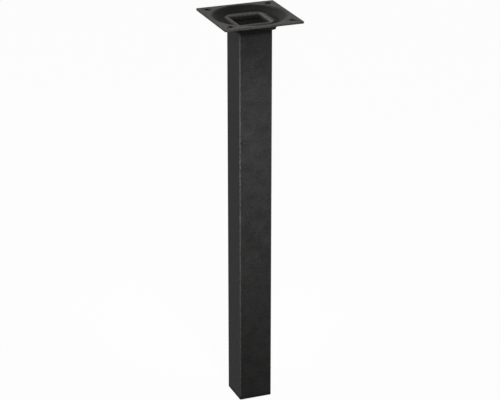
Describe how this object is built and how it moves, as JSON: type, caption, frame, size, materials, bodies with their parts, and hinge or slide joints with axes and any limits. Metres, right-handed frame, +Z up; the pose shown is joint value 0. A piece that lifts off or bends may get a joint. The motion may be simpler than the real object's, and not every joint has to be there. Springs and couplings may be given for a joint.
{
  "type": "square furniture leg",
  "caption": "Square steel tube leg with a pressed mounting plate, its dished centre clamped by the flared tube end, and a plastic floor cap.",
  "frame": {"origin": "middle of the cap's sole, on the floor", "axes": "+Z up along the tube to the mounting face, X and Y along the sides of the plate"},
  "size_m": [0.06, 0.06, 0.3],
  "materials": {
    "tube_coat": "fine textured black powder coat",
    "plate_coat": "fine textured black powder coat",
    "cap_plastic": "matt black moulded plastic"
  },
  "bodies": {
    "root": {"tube": "tube_coat", "mounting_plate": "plate_coat", "end_cap": "cap_plastic"}
  },
  "joints": []
}
